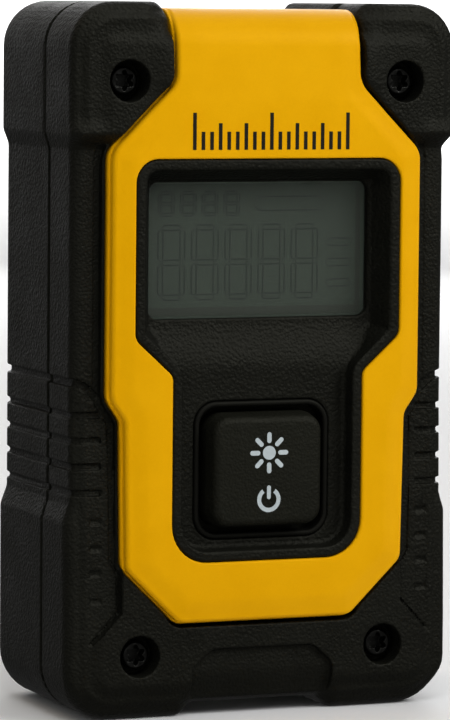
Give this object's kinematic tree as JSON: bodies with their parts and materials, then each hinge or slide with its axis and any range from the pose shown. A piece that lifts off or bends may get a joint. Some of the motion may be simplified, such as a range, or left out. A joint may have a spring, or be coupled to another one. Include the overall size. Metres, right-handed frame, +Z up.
{
  "type": "laser distance meter",
  "caption": "Pocket laser distance meter with a two-shell rugged case, coloured front cover, display window, one sprung measure button and a hinged charging port cover.",
  "frame": {"origin": "middle of the base, on the surface the meter stands on", "axes": "+Z up along the case to the optics end, -Y out of the display side, +X to the right as seen from the display side"},
  "size_m": [0.0444, 0.025, 0.076],
  "materials": {
    "black_case": "fine grained black plastic",
    "cover_yellow": "satin amber yellow plastic",
    "bezel_black": "fine grained black plastic",
    "button_black": "fine grained black rubber",
    "seal_rubber": "soft black silicone",
    "screw_black": "black oxide steel",
    "steel": "plain zinc plated steel",
    "brass": "turned brass",
    "display_clear": "clear polycarbonate window",
    "display_panel": "grey green liquid crystal glass",
    "lens_glass": "coated clear glass",
    "white_plastic": "natural white nylon",
    "strip_rubber": "conductive elastomer strip",
    "board_green": "green solder mask",
    "chip_black": "moulded epoxy",
    "cell_wrap": "shrink wrapped lithium cell",
    "foam_grey": "closed cell foam",
    "lead_red": "red silicone insulation",
    "lead_black": "black silicone insulation",
    "block_grey": "black anodised die casting",
    "flex_amber": "polyimide film",
    "plate_grey": "blank silver grey label"
  },
  "bodies": {
    "housing": {"front_housing": "black_case", "rear_housing": "black_case", "front_cover": "cover_yellow", "display_bezel": "bezel_black", "housing_gasket": "seal_rubber", "housing_screws": "screw_black", "lcd_window": "display_clear", "lcd_panel": "display_panel", "lcd_frame": "white_plastic", "lcd_connectors": "strip_rubber", "main_board": "board_green", "processor_chip": "chip_black", "flex_connector": "white_plastic", "switch_body": "chip_black", "button_seal": "seal_rubber", "buzzer": "chip_black", "battery_cell": "cell_wrap", "battery_pad": "foam_grey", "battery_lead_positive": "lead_red", "battery_lead_negative": "lead_black", "battery_plug": "white_plastic", "usb_socket": "steel", "usb_tongue": "chip_black", "cover_pin": "steel", "optics_block": "block_grey", "laser_barrel": "brass", "laser_diode": "steel", "collimator_lens": "lens_glass", "receiver_lens": "lens_glass", "sensor_board": "board_green", "photodiode": "chip_black", "flex_cable": "flex_amber", "optics_screws": "steel", "board_screws": "steel", "optics_bezel": "bezel_black", "optics_window": "lens_glass", "rating_plate": "plate_grey"},
    "button": {"measure_button": "button_black"},
    "plunger": {"switch_plunger": "white_plastic"},
    "port_door": {"port_cover": "button_black"}
  },
  "joints": [
    {"name": "button_press", "type": "slide", "parent": "housing", "child": "button", "axis": [0, 1, 0], "range_m": [0, 0.0006], "stiffness_N_per_m": 3000},
    {"name": "plunger_press", "type": "slide", "parent": "housing", "child": "plunger", "axis": [0, 1, 0], "range_m": [0, 0.0006]},
    {"name": "port_cover_hinge", "type": "hinge", "parent": "housing", "child": "port_door", "pos_m": [0.02075, 0.0044, 0.05175], "axis": [0, 0, 1], "range_deg": [0, 100]}
  ],
  "couplings": [
    {"joint": "plunger_press", "follows": "button_press", "ratio": 1}
  ]
}
